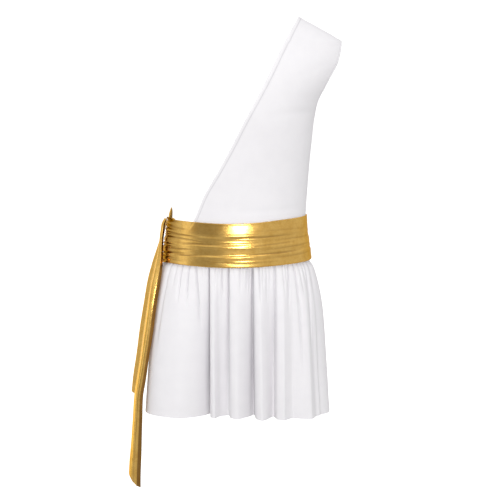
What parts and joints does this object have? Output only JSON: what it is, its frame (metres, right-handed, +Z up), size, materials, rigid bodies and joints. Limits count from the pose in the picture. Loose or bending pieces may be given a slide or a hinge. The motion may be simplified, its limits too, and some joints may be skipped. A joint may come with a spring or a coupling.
{
  "type": "ancient greek costume",
  "caption": "One-shoulder white toga dress with a gathered mini skirt and a gold sash tied at the hip, filled out as worn.",
  "frame": {"origin": "underside of the shoulder strap at the middle of its top seam, where it lies on the wearer's shoulder", "axes": "+Z up, the front of the dress faces -Y, +X is the wearer's left"},
  "size_m": [0.4168, 0.2437, 0.9198],
  "materials": {
    "white_jersey": "smooth matt white knit with a very fine grain",
    "gold_lame": "thin gold foil-printed cloth, metallic sheen with a fine sparkle"
  },
  "bodies": {
    "root": {"bodice_front": "white_jersey", "bodice_back": "white_jersey", "skirt_front": "white_jersey", "skirt_back": "white_jersey", "sash_front": "gold_lame", "sash_back": "gold_lame", "sash_knot": "gold_lame", "sash_ear": "gold_lame", "sash_tail_short": "gold_lame", "sash_tail_long": "gold_lame"}
  },
  "joints": []
}
